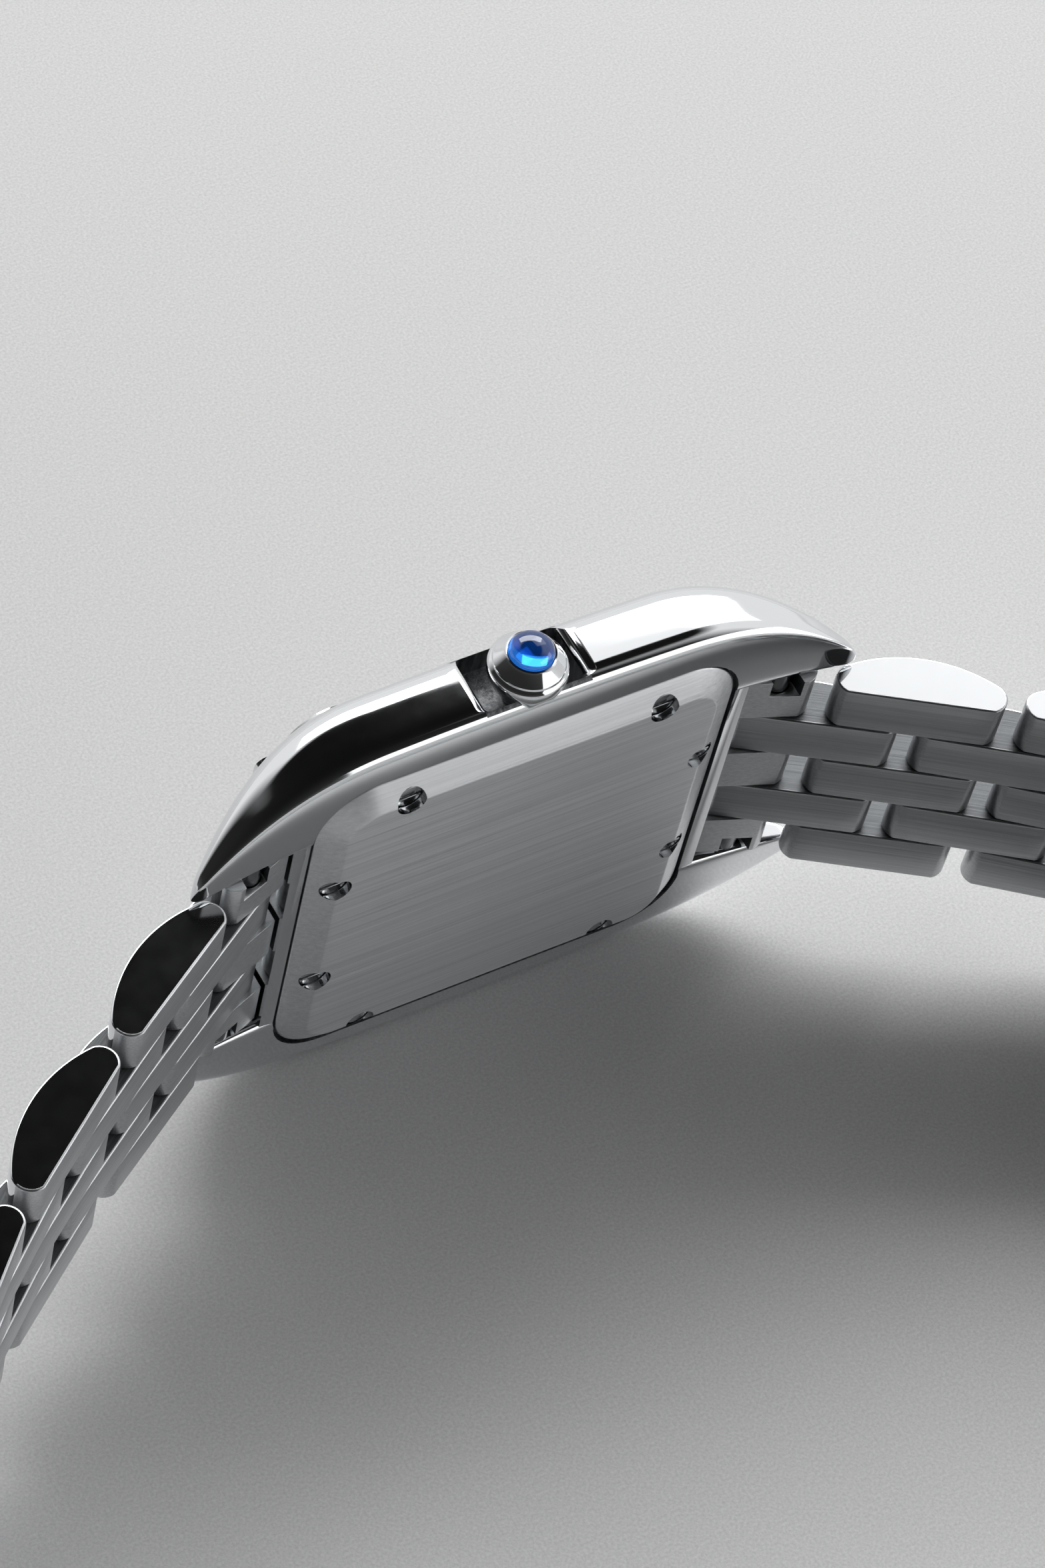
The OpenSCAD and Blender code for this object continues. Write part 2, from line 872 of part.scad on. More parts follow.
module at_plate() {
    at_blade_12()
        translate([blade_len, 0, 0])
            rotate([0, 0, blade_angle - 180])
                children();
}

module clasp_blade_12() {
    color("silver")
        stand()
            at_blade_12()
                blade_solid(blade_len);
}

module plate_solid() {
    difference() {
        union() {
            translate([-plate_end, -plate_drop - plate_t / 2, -arm_z1])
                cube([plate_len + 2 * plate_end, plate_t, 2 * arm_z1]);
            for (u = [0, plate_len])
                for (s = [-1, 1])
                    translate([u, 0, s * (arm_z0 + arm_z1) / 2 - (arm_z1 - arm_z0) / 2]) {
                        cylinder(r = knuckle_r, h = arm_z1 - arm_z0);
                        translate([-knuckle_r, -plate_drop, 0])
                            cube([2 * knuckle_r, plate_drop, arm_z1 - arm_z0]);
                    }
        }
        for (u = [0, plate_len]) {
            translate([u, 0, -2 * arm_z1])
                cylinder(r = clasp_pin_r + press_fit, h = 4 * arm_z1);
            translate([u - 2 * plate_end, -plate_drop - plate_t, -arm_z0])
                cube([4 * plate_end, plate_drop + plate_t, 2 * arm_z0]);
        }
    }
}

module clasp_plate() {
    color("silver")
        stand()
            at_plate()
                plate_solid();
}

// The free blade ends in an open hook that clips over the last pin of the other side.
module clasp_blade_6() {
    color("silver")
        stand()
            at_plate()
                translate([plate_len, 0, 0])
                    rotate([0, 0, blade_angle - 180])
                        translate([blade_len, 0, 0])
                            mirror([1, 0, 0])
                                difference() {
                                    blade_solid(blade_len);
                                    translate([-hook_out - over, -end_r - over, -2 * arm_z1])
                                        cube([hook_out + over, end_r + over, 4 * arm_z1]);
                                }
}

module clasp_pins() {
    color("dimgray")
        stand()
            at_plate()
                for (u = [0, plate_len])
                    translate([u, 0, -arm_z1])
                        cylinder(r = clasp_pin_r, h = 2 * arm_z1);
}

case_body();
bezel();
bezel_screws();
crystal();
crystal_gasket();
dial();
hour_hand();
minute_hand();
hour_wheel();
cannon_pinion();
movement();
circuit_board();
drive_coil();
battery();
movement_holder();
setting_pinion();
winding_stem();
crown_tube();
crown();
crown_cabochon();
back_gasket();
case_back();
back_screws();
spring_bars();
end_link_12();
end_link_6();
row_12(0);  // link_12_01
row_12(1);  // link_12_02
row_12(2);  // link_12_03
row_12(3);  // link_12_04
row_12(4);  // link_12_05
row_12(5);  // link_12_06
row_12(6);  // link_12_07
row_12(7);  // link_12_08
row_12(8);  // link_12_09
row_12(9);  // link_12_10
row_12(10);  // link_12_11
row_12(11);  // link_12_12
row_12(12);  // link_12_13
row_12(13);  // link_12_14
row_6(0);  // link_6_01
row_6(1);  // link_6_02
row_6(2);  // link_6_03
row_6(3);  // link_6_04
row_6(4);  // link_6_05
row_6(5);  // link_6_06
row_6(6);  // link_6_07
row_6(7);  // link_6_08
row_6(8);  // link_6_09
row_6(9);  // link_6_10
row_6(10);  // link_6_11
row_6(11);  // link_6_12
row_6(12);  // link_6_13
row_6(13);  // link_6_14
clasp_blade_12();
clasp_plate();
clasp_blade_6();
clasp_pins();
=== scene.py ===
"""A square steel wristwatch on a five column brick bracelet, standing on its nine o'clock flank."""

import bmesh
import bpy
import numpy as np
from mathutils import Matrix, Vector


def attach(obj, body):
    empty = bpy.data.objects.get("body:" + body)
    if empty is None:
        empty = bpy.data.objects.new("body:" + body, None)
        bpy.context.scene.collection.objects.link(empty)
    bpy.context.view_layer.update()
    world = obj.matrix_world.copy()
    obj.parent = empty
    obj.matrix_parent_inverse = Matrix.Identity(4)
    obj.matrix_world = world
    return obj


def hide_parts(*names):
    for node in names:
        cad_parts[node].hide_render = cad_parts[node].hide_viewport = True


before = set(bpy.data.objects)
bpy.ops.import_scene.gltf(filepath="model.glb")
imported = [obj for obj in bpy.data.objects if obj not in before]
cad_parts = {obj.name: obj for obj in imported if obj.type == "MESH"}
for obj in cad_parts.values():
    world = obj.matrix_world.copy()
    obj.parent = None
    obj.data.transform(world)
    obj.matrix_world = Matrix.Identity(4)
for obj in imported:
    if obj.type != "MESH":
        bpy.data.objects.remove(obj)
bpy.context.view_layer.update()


# ---- Stand: the case is wider than the bracelet and both touch the ground, so the watch leans back a little.
# Every shape below is worked out in the watch's own frame in mm: +X to twelve, +Y to the dial, +Z to the crown.
lean = np.radians(6.412699998)
ground_y, ground_z = 27.914290, 13.516053


def on_stand(points):
    """Watch frame in mm to row frame in m: a turn by the lean about X, then the lift onto the ground."""
    p = np.asarray(points, float).reshape(-1, 3)
    y = p[:, 1] * np.cos(lean) - p[:, 2] * np.sin(lean) + ground_y
    z = p[:, 1] * np.sin(lean) + p[:, 2] * np.cos(lean) + ground_z
    return np.stack([p[:, 0], y, z], 1) / 1000


def off_stand(points):
    """Row frame in m back to watch frame in mm."""
    p = np.asarray(points, float).reshape(-1, 3) * 1000 - [0, ground_y, ground_z]
    y = p[:, 1] * np.cos(lean) + p[:, 2] * np.sin(lean)
    z = p[:, 2] * np.cos(lean) - p[:, 1] * np.sin(lean)
    return np.stack([p[:, 0], y, z], 1)


def linear(code):
    """An sRGB hex colour as linear RGBA."""
    v = np.array([int(code[i:i + 2], 16) for i in (0, 2, 4)]) / 255
    v = np.where(v <= 0.04045, v / 12.92, ((v + 0.055) / 1.055) ** 2.4)
    return (*v.tolist(), 1.0)


# ---- Camera: a long macro lens over the six o'clock horn, looking down on the back and the crown.
# Its place and directions, in the watch frame, were fitted to the screws, the horn tips, the crown and the bracelet.
focal_px, picture_px, film_mm = 8000, 2352, 36
right, down, ahead = np.array([
    [0.865981, -0.475728, 0.154139], [-0.318065, -0.761826, -0.564319], [0.38589, 0.439663, -0.81104]])
seat = np.array([[-99.677, -115.919, 215.939]])
eye = bpy.data.cameras.new("macro lens")
eye.sensor_width = film_mm
eye.lens = focal_px / picture_px * film_mm
eye.clip_start, eye.clip_end = 0.01, 20
camera = bpy.data.objects.new("macro lens", eye)
bpy.context.scene.collection.objects.link(camera)
axes = [(on_stand(seat + v) - on_stand(seat))[0] * 1000 for v in (right, -down, -ahead)]
pose = np.eye(4)
pose[:3, :3] = np.stack(axes, 1)
pose[:3, 3] = on_stand(seat)[0]
camera.matrix_world = Matrix(pose.tolist())
bpy.context.scene.camera = camera
bpy.context.scene.view_settings.view_transform = "Standard"


# ---- Studio: a sheet of pale grainy card, a soft panel behind, a soft box to the right and a card at the front right.
# The front of the room is dark. Its back is pale up to about 50 degrees and dark overhead, so polished steel goes from
# black to white.
def feed(tree, target, inputs):
    """Gives the inputs of a node their values, or links them to the sockets given."""
    for name, value in inputs.items():
        if isinstance(value, bpy.types.NodeSocket):
            tree.links.new(value, target.inputs[name])
        else:
            target.inputs[name].default_value = value


def node(tree, kind, inputs=None, **fields):
    """Adds one node: fields are its own settings, inputs are values or sockets for its inputs."""
    made = tree.nodes.new(kind)
    for name, value in fields.items():
        setattr(made, name, value)
    feed(tree, made, inputs or {})
    return made


def stuff(name):
    """A new material with an empty tree, its shader, and its output joined up."""
    material = bpy.data.materials.new(name)
    material.use_nodes = True
    tree = material.node_tree
    tree.nodes.clear()
    shader = tree.nodes.new("ShaderNodeBsdfPrincipled")
    node(tree, "ShaderNodeOutputMaterial", {"Surface": shader.outputs["BSDF"]})
    return material, tree, shader


def own_place(tree):
    """The point of the surface in metres, in the row frame."""
    return node(tree, "ShaderNodeTexCoord").outputs["Object"]


def two_tone(tree, pattern, dark, light, low=0.3, high=0.7):
    """Two sRGB colours mixed by a pattern: dark up to low, light from high on."""
    tone = node(tree, "ShaderNodeValToRGB", {"Fac": pattern})
    for stop, place, code in zip(tone.color_ramp.elements, (low, high), (dark, light)):
        stop.position, stop.color = place, linear(code)
    return tone.outputs["Color"]


def relief(tree, pattern, strength, depth):
    """A normal bent by a pattern's height, its depth in metres."""
    bump = node(tree, "ShaderNodeBump", {"Height": pattern, "Strength": strength, "Distance": depth})
    return bump.outputs["Normal"]


def paper():
    """Uncoated pale card: an even fibre grain about 0.15 mm apart, in tone and in height, which gives the matt floor a
    fine tooth. From 0.25 to 0.6 m round the watch it turns into the backdrop's own grey for camera, glossy and
    transmission rays, so that no far edge shows."""
    material, tree, shader = stuff("pale uncoated card")
    place = own_place(tree)
    grain = node(tree, "ShaderNodeTexNoise", {"Vector": place, "Scale": 6500.0, "Detail": 3.0, "Roughness": 0.6})
    feed(tree, shader, {
        "Base Color": two_tone(tree, grain.outputs["Fac"], "D2D2D2", "E8E8E8"),
        "Roughness": 0.9,
        "Normal": relief(tree, grain.outputs["Fac"], 0.15, 0.00006),
    })
    reach = node(tree, "ShaderNodeVectorMath", {0: place}, operation="LENGTH")
    far = node(tree, "ShaderNodeMapRange", {"Value": reach.outputs["Value"], "From Min": 0.25, "From Max": 0.6})
    seen = node(tree, "ShaderNodeLightPath").outputs
    bright = node(tree, "ShaderNodeMath", {0: seen["Is Camera Ray"], 1: seen["Is Glossy Ray"]}, operation="MAXIMUM")
    bright = node(tree, "ShaderNodeMath", {0: bright.outputs[0], 1: seen["Is Transmission Ray"]}, operation="MAXIMUM")
    fade = node(tree, "ShaderNodeMath", {0: bright.outputs[0], 1: far.outputs["Result"]}, operation="MULTIPLY")
    back = node(tree, "ShaderNodeEmission", {"Color": linear("DCDCDC"), "Strength": 1.0})
    both = node(tree, "ShaderNodeMixShader", {
        "Fac": fade.outputs[0], 1: shader.outputs["BSDF"], 2: back.outputs["Emission"]})
    out = next(n for n in tree.nodes if n.type == "OUTPUT_MATERIAL")
    feed(tree, out, {"Surface": both.outputs["Shader"]})
    return material


def grid_faces(rows, around):
    """Quads between neighbours of rows x around points, closed along the second count."""
    i, j = np.meshgrid(np.arange(rows - 1), np.arange(around), indexing="ij")
    a, b = i * around + j, i * around + (j + 1) % around
    return np.stack([a, b, b + around, a + around], -1).reshape(-1, 4)


# The sheet is 4 x 3 m and flat: points (x, y, 0) on an even grid, with the seam's quads left out.
sheet_points = 40
sheet = np.stack(np.meshgrid(np.linspace(-2, 2, sheet_points), np.linspace(-1.5, 1.5, sheet_points)), -1)
quads = grid_faces(sheet_points, sheet_points).reshape(-1, sheet_points, 4)[:, :-1].reshape(-1, 4)
sheet_mesh = bpy.data.meshes.new("floor")
sheet_mesh.from_pydata(np.pad(sheet, ((0, 0), (0, 0), (0, 1))).reshape(-1, 3).tolist(), [], quads.tolist())
floor = bpy.data.objects.new("floor", sheet_mesh)
floor.data.materials.append(paper())
bpy.context.scene.collection.objects.link(floor)


def soft_lamp(name, at, aim, size, power):
    """A rectangular soft box at a point, facing another, its size in metres and its power in watts."""
    light = bpy.data.lights.new(name, "AREA")
    light.shape, light.size, light.size_y, light.energy = "RECTANGLE", size[0], size[1], power
    lamp = bpy.data.objects.new(name, light)
    bpy.context.scene.collection.objects.link(lamp)
    lamp.location = at
    lamp.rotation_euler = (Vector(aim) - Vector(at)).to_track_quat("-Z", "Y").to_euler()


soft_lamp("back panel", (0.2, 0.41, 0.4), (0, 0, 0.01), (0.6, 0.26), 2.55)
soft_lamp("right soft box", (0.4114, 0.285, 0.515), (-0.128, 0.209, 0.161), (0.35, 0.44), 0.52)
soft_lamp("front card", (0.38, -0.38, 0.15), (0, 0, 0.01), (0.64, 0.26), 0.75)

# The room's colours from level to straight up: first its front, then its back.
room_tones = (
    ((0.0, "4C4C4C"), (0.28, "2C2C2C"), (1.0, "121212")),
    ((0.0, "F4F4F4"), (0.76, "F4F4F4"), (0.83, "101010")),
)
world = bpy.data.worlds.new("studio room")
world.use_nodes = True
bpy.context.scene.world = world
tree = world.node_tree
tree.nodes.clear()
look = node(tree, "ShaderNodeTexCoord").outputs["Generated"]
height = node(tree, "ShaderNodeSeparateXYZ", {"Vector": look}).outputs["Z"]
rooms = []
for steps in room_tones:
    wall = node(tree, "ShaderNodeValToRGB", {"Fac": height})
    wall.color_ramp.elements.new(0.5)
    for stop, (place, code) in zip(wall.color_ramp.elements, steps):
        stop.position, stop.color = place, linear(code)
    rooms.append(wall.outputs["Color"])
toward = node(tree, "ShaderNodeVectorMath", {0: look, 1: (0.7, 0.71, 0.0)}, operation="DOT_PRODUCT")
side = node(tree, "ShaderNodeMapRange", {"Value": toward.outputs["Value"], "From Min": -0.15, "From Max": 0.3})
room = node(tree, "ShaderNodeMix", {"Factor": side.outputs["Result"], 6: rooms[0], 7: rooms[1]}, data_type="RGBA")
sky = node(tree, "ShaderNodeBackground", {"Color": room.outputs[2], "Strength": 1.0})
plain = node(tree, "ShaderNodeBackground", {"Color": linear("DCDCDC"), "Strength": 1.0})
mix = node(tree, "ShaderNodeMixShader", {
    "Fac": node(tree, "ShaderNodeLightPath").outputs["Is Camera Ray"],
    1: sky.outputs["Background"], 2: plain.outputs["Background"]})
node(tree, "ShaderNodeOutputWorld", {"Surface": mix.outputs["Shader"]})


# ---- Finishes: stainless steel all through, either buffed to a mirror or drawn over an abrasive belt.
# Every CAD node starts as a mirror, and the sections below give the others what they have instead.
def polished_steel(name="mirror polished stainless steel", tint="E6E8EA", rough=0.07):
    """Stainless steel buffed on a wheel: a mirror whose haze comes and goes over about 1 mm, which keeps its reflections
    from looking drawn."""
    material, tree, shader = stuff(name)
    haze = node(tree, "ShaderNodeTexNoise", {
        "Vector": own_place(tree), "Scale": 900.0, "Detail": 4.0, "Roughness": 0.6})
    level = node(tree, "ShaderNodeMapRange", {
        "Value": haze.outputs["Fac"], "To Min": rough * 0.7, "To Max": rough * 1.4})
    feed(tree, shader, {"Base Color": linear(tint), "Metallic": 1.0, "Roughness": level.outputs["Result"]})
    return material


def brushed_steel(name, tint, rough, stretch, strength=0.35, along=None):
    """Stainless steel drawn over an abrasive belt: parallel lines 0.1 to 0.25 mm apart, long one way, which smear a
    reflection across themselves. stretch is lines a metre along x, y and z, or lines a mm where the pattern follows
    the attribute named by along."""
    material, tree, shader = stuff(name)
    if along:
        place = node(tree, "ShaderNodeAttribute", attribute_name=along).outputs["Vector"]
    else:
        place = own_place(tree)
    drawn = node(tree, "ShaderNodeMapping", {"Vector": place, "Scale": stretch})
    lines = node(tree, "ShaderNodeTexNoise", {
        "Vector": drawn.outputs["Vector"], "Scale": 1.0, "Detail": 5.0, "Roughness": 0.75}).outputs["Fac"]
    level = node(tree, "ShaderNodeMapRange", {"Value": lines, "To Min": rough * 0.8, "To Max": rough * 1.25})
    feed(tree, shader, {
        "Base Color": two_tone(tree, lines, *tint),
        "Metallic": 1.0,
        "Roughness": level.outputs["Result"],
        "Normal": relief(tree, lines, strength, 0.00003),
        "Anisotropic": 0.7,
        "Tangent": node(tree, "ShaderNodeCombineXYZ", {"Z": 1.0}).outputs["Vector"],
    })
    return material


mirror = polished_steel()
satin = brushed_steel("belt brushed stainless steel", ("C8CACC", "E6E8EA"), 0.3, (60, 9000, 9000))
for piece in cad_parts.values():
    piece.data.materials.clear()
    piece.data.materials.append(mirror)


# ---- Case: one milled block of stainless steel, its two flanks sculpted into four horns and buffed to a mirror.
# The flanks stay apart from the pockets: the plate, the bezel and the crown each sit in a cut of their own.
def skin(rings, look=0, caps=(0, 0)):
    """Closed rings of points joined by quads, a flat face over both ends, turned so that the volume is positive."""
    count, around = rings.shape[:2]
    quads = grid_faces(count, around)
    points = rings.reshape(-1, 3)
    p = points[quads] - points.mean(0)
    volume = (np.cross(p[:, 0], p[:, 1]) * p[:, 2]).sum() + (np.cross(p[:, 0], p[:, 2]) * p[:, 3]).sum()
    faces = quads.tolist() + [list(range(around))[::-1], list(range((count - 1) * around, count * around))]
    looks = np.broadcast_to(look, (count - 1, around)).reshape(-1).tolist() + list(caps)
    return points, [f[::-1] for f in faces] if volume < 0 else faces, looks


def shape(name, shells, crease=32, brush=None):
    """One object from several shells in watch millimetres, shaded smooth up to the crease angle in degrees."""
    points, faces, looks, start = [], [], [], 0
    for p, f, k in shells:
        points.append(on_stand(p))
        faces += [[i + start for i in face] for face in f]
        looks += k
        start += len(p)
    mesh = bpy.data.meshes.new(name)
    mesh.from_pydata(np.concatenate(points).tolist(), [], faces)
    mesh.polygons.foreach_set("material_index", looks)
    mesh.polygons.foreach_set("use_smooth", [True] * len(faces))
    mesh.set_sharp_from_angle(angle=np.radians(crease))
    if brush is not None:
        lines = mesh.attributes.new("brush", "FLOAT_VECTOR", "POINT")
        lines.data.foreach_set("vector", np.asarray(brush, np.float32).ravel())
    piece = bpy.data.objects.new(name, mesh)
    bpy.context.scene.collection.objects.link(piece)
    return piece


def fit(piece, body, slot, *nodes, finish=()):
    """Gives a piece its finishes and its body, and hides the CAD nodes that it stands for; slot is not used."""
    for material in finish:
        piece.data.materials.append(material)
    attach(piece, body)
    if nodes:
        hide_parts(*nodes)
    return piece


def soft(v, power):
    """Superellipse term: the sign of v times |v| to the 2 / power."""
    return np.sign(v) * np.abs(v) ** (2 / power)


half_length, half_width = 18.5, 13.5
horn_start, tip_start, inner_edge = 8, 17.8, 7.6


def flank(steps=161, around=128):
    """One flank with its two horns, as closed rings along x. With u from 0 at the start of a horn to 1 at its tip, the
    top line is arched by 0.0028 x^2 and falls by 4.04 u^2.4; the front drops by 5.1 u^2, the back by 0.7 u^2, and the
    rings shrink along a quarter circle over the last 0.7 mm. Outside, a ring is a superellipse, nearly flat toward the
    back (power 5) and rounder toward the front (2.4); inside it is almost square (6)."""
    x = half_length * np.sin(np.linspace(-np.pi / 2, np.pi / 2, steps))[:, None]
    a = np.linspace(0, 2 * np.pi, around, endpoint=False)[None]
    u = np.clip((np.abs(x) - horn_start) / (half_length - horn_start), 0, None)
    top = half_width - 0.0028 * x ** 2 - 4.04 * u ** 2.4
    front, back = 2.5 - 5.1 * u ** 2, -2.4 - 0.7 * u ** 2
    middle = inner_edge + 0.35 * (top - inner_edge)
    near_tip = np.clip((np.abs(x) - tip_start) / 0.7, 0, 1)
    tip = np.maximum(0.05, np.sqrt(np.clip(1 - near_tip ** 2, 0, 1)))
    outside = np.sin(a) >= 0
    power = np.where(outside, np.where(np.cos(a) > 0, 2.4, 5.0), 6)
    y = (front + back) / 2 + (front - back) / 2 * tip * soft(np.cos(a), power)
    z = middle + np.where(outside, top - middle, middle - inner_edge) * tip * soft(np.sin(a), power)
    return np.stack(np.broadcast_arrays(x, y, z), -1)


def round_rect(hx, hz, r, corner=10):
    """A rectangle with round corners, as points [x, z] going round once."""
    t = np.linspace(0, np.pi / 2, corner)
    arc = np.stack([np.cos(t), np.sin(t)], 1) * r
    parts = []
    for k, (sx, sz) in enumerate(((1, 1), (-1, 1), (-1, -1), (1, -1))):
        q = arc if k % 2 == 0 else arc[::-1]
        parts.append(q * [sx, sz] + [sx * (hx - r), sz * (hz - r)])
    return np.concatenate(parts)


def slab(outline, low, high):
    """An outline in x and z, carried straight from one height y to another."""
    ring = np.stack([outline[:, 0], np.zeros(len(outline)), outline[:, 1]], 1)
    return np.stack([ring + [0, low, 0], ring + [0, high, 0]])


def carve(target, tools, how="DIFFERENCE"):
    """Joins or cuts closed shells from a shape, and leaves a plain mesh."""
    for tool in tools:
        cut = target.modifiers.new("cut", "BOOLEAN")
        cut.operation, cut.object, cut.solver = how, tool, "MANIFOLD"
    bpy.context.view_layer.update()
    mesh = bpy.data.meshes.new_from_object(target.evaluated_get(bpy.context.evaluated_depsgraph_get()))
    target.modifiers.clear()
    target.data = mesh
    mesh.materials.clear()
    for tool in tools:
        bpy.data.objects.remove(tool)
    mesh.polygons.foreach_set("use_smooth", [True] * len(mesh.polygons))
    mesh.set_sharp_from_angle(angle=np.radians(32))
    return target


case = shape("case", [skin(flank())])
carve(case, [
    shape("low_flank", [skin(flank() * [1, 1, -1])]),
    shape("middle", [skin(slab(round_rect(12.6, 9.2, 0.6), -2.37, 2.3))]),
], "UNION")

# The crown recess, from its floor up: a slot 5.4 mm wide that flares out to a rounded lip.
recess_levels = ((11.2, 2.7), (12.8, 2.7), (12.95, 2.72), (13.08, 2.78), (13.18, 2.86), (13.25, 2.96), (13.3, 3.1),
                 (13.34, 3.3), (14.5, 3.3))
rings = []
for z, wide in recess_levels:
    line = round_rect(wide, 1.8, 0.4)
    rings.append(np.column_stack([line, np.full(len(line), z)]))
pocket_x, pocket_z, plate_back = 11.82, 11.32, -1.9
carve(case, [
    shape("plate_pocket", [skin(slab(round_rect(pocket_x, pocket_z, 3.32), -4, plate_back))]),
    shape("cavity", [skin(slab(round_rect(9.2, 8.7, 2), -2.5, 2.5))]),
    shape("dial_seat", [skin(slab(round_rect(9.55, 9.15, 2), 0.9, 3))]),
    shape("bezel_seat", [skin(slab(round_rect(10.95, 10.65, 2.65), 1.9, 4))]),
    shape("crown_recess", [skin(np.stack(rings))]),
])

# The recess and the upright walls of the plate's pocket are left as milled: dull and finely scored.
# Their dark tone is painted shade, where shade falls in the recess and down the pocket's walls.
recess_steel_painted_shade = brushed_steel("milled steel recess painted dark as shade", ("3A3B3D", "8E9092"), 0.38, (4000, 4000, 300), 0.9)
spots = off_stand([f.center for f in case.data.polygons])
dial_way = Vector((0, np.cos(lean), np.sin(lean)))
upright = np.abs([f.normal.dot(dial_way) for f in case.data.polygons]) < 0.3
in_recess = (np.abs(spots - [0, -0.02, 12.2]) < [2.74, 1.95, 1.1]).all(1)
in_pocket = (np.abs(spots) < [pocket_x + 0.01, 4, pocket_z + 0.01]).all(1) & (spots[:, 1] < plate_back)
case.data.polygons.foreach_set("material_index", (in_recess | upright & in_pocket).astype(int).tolist())
fit(case, "case", "polished_steel", "case_body", finish=[mirror, recess_steel_painted_shade])


# ---- Bracelet: every row is two or three bricks milled from steel bar, pressed on a pin at its outer end.
# They are brushed toward the wrist, and polished on the outside and on the two sides of the band.
rows, pitch, column_pitch, half_brick = 14, 4.8, 3.0, 1.45
pin_r, pin_half = 0.5, 6.8


def row_turn(k):
    """The angle of row k to the case, in radians: 31.5 degrees at the case, and 0.55 k^2 more further on."""
    return np.radians(31.5 + 0.55 * k * k)


def brick_outline(reach=3.4, end=0.95, inner=0.9, outer=1.85):
    """A brick from the side, going round once: flat toward the wrist, round ends and one shallow arc outside."""
    turn = np.linspace(-np.arcsin(inner / end), np.radians(50), 13)
    right_end = np.stack([reach + end * np.cos(turn), end * np.sin(turn)], 1)
    u, v = right_end[-1]
    big = (u * u + (outer - v) ** 2) / (2 * (outer - v))
    spread = np.linspace(np.arcsin(u / big), -np.arcsin(u / big), 25)[1:-1]
    top = np.stack([big * np.sin(spread), outer - big + big * np.cos(spread)], 1)
    left_end = right_end[::-1] * [-1, 1]
    flat = np.stack([np.linspace(left_end[-1, 0], right_end[0, 0], 9)[1:-1], np.full(7, -inner)], 1)
    return np.concatenate([right_end, top, left_end, flat])


def rounded_bar(outline, low, high, edge=0.1, steps=4):
    """An outline carried from low to high, drawn in along a quarter circle at each end and then kept flat."""
    ahead = np.roll(outline, -1, 0) - np.roll(outline, 1, 0)
    out = np.stack([ahead[:, 1], -ahead[:, 0]], 1) / np.linalg.norm(ahead, axis=1, keepdims=True)
    t = np.linspace(0, np.pi / 2, steps)
    inset, rise = np.append(1.3, 1 - np.sin(t)) * edge, np.append(0, 1 - np.cos(t)) * edge
    inset, w = np.concatenate([inset, inset[::-1]]), np.concatenate([low + rise, (high - rise)[::-1]])
    rings = outline[None] - inset[:, None, None] * out[None]
    return np.concatenate([rings, np.broadcast_to(w[:, None, None], (*rings.shape[:2], 1))], 2)


brick = brick_outline()
polished_side = (brick[:, 1] > 0.3).astype(int)
pins = [np.array([14.8, -1.8])]
for k in range(rows):
    pins.append(pins[-1] + pitch * np.array([np.cos(row_turn(k)), -np.sin(row_turn(k))]))
t = np.linspace(0, 2 * np.pi, 24, endpoint=False)
circle = np.stack([np.cos(t), np.sin(t)], 1)

# A real bracelet has one finish. These two tints aren't seen in the steel: they were chosen to bring each half to its
# brightness in the photograph, where the lamps didn't. So the darker twelve half is painted shade and the lighter six
# half is painted light. The lines run along each brick and give it a soft sheen.
lit_and_shaded_satin_rows = {
    "12": brushed_steel(
        "belt brushed stainless steel brick twelve half", ("9A9C9E", "BEC0C2"), 0.3, (0.08, 9, 9), along="brush"),
    "6": brushed_steel(
        "belt brushed stainless steel brick six half", ("BEC0C2", "E2E4E6"), 0.3, (0.08, 9, 9), along="brush"),
}
# Between the bricks the milled steel was never brushed, so the gaps look dull; their dark tone is painted shade.
milled = brushed_steel("milled steel between bricks painted dark as shade", ("505254", "747678"), 0.45, (0.08, 9, 9), along="brush")
shuffle = np.random.default_rng(7)
for side, flip in (("12", 1), ("6", -1)):
    for k in range(rows):
        turn = row_turn(k)
        way = np.array([[np.cos(turn), np.sin(turn)], [-np.sin(turn), np.cos(turn)]])
        shells, brush = [], []
        for column in ((-1, 1) if k % 2 == 0 else (-2, 0, 2)):
            middle = column * column_pitch
            bar = rounded_bar(brick + [pitch / 2, 0], middle - half_brick, middle + half_brick)
            brush.append(bar.reshape(-1, 3) + shuffle.uniform(0, 50, 3))
            bar[..., :2] = bar[..., :2] @ way.T + pins[k]
            # Sides that face another brick take the third finish, painted dark as shade; the band's outer sides are
            # polished.
            caps = (1 if column == -2 else 2, 1 if column == 2 else 2)
            shells.append(skin(bar * [flip, 1, 1], polished_side[None], caps))
        pin = rounded_bar(pin_r * circle + [pitch, 0], -pin_half, pin_half, 0.08)
        brush.append(pin.reshape(-1, 3))
        pin[..., :2] = pin[..., :2] @ way.T + pins[k]
        shells.append(skin(pin * [flip, 1, 1], 1, (1, 1)))
        number = f"{side}_{k + 1:02d}"
        row = shape(f"row_{number}", shells, brush=np.concatenate(brush))
        fit(row, f"row_{number}", "brushed_steel", f"link_{number}", finish=[lit_and_shaded_satin_rows[side], mirror, milled])


